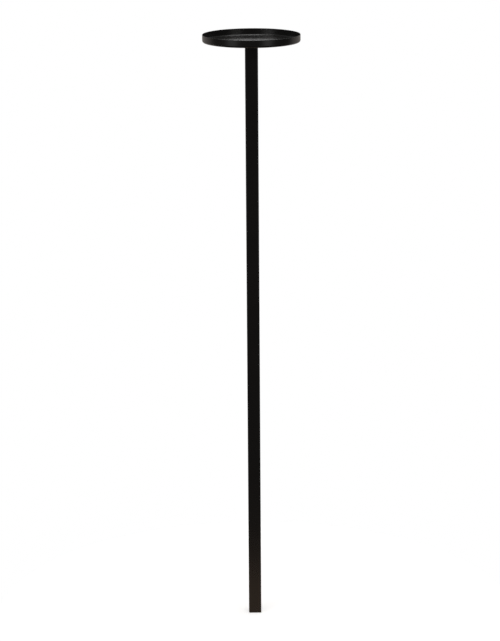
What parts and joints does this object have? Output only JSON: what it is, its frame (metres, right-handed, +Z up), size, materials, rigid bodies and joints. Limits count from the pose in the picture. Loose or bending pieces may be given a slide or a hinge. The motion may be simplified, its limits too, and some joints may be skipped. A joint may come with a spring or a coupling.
{
  "type": "garden torch stake",
  "caption": "Garden torch stake: a shallow round tray with an upright rim, welded to a straight square tube pole whose lower end goes into the ground.",
  "frame": {"origin": "centre of the pole's lower end, on the plane of its square cut", "axes": "+Z up the pole to the tray, +X and +Y square to the pole's flat sides, with the flat front side facing -Y"},
  "size_m": [0.15, 0.15, 0.94],
  "materials": {
    "black_coat": "satin black powder coat with a fine orange-peel texture"
  },
  "bodies": {
    "root": {"candle_tray": "black_coat", "pole": "black_coat", "neck_weld": "black_coat"}
  },
  "joints": []
}
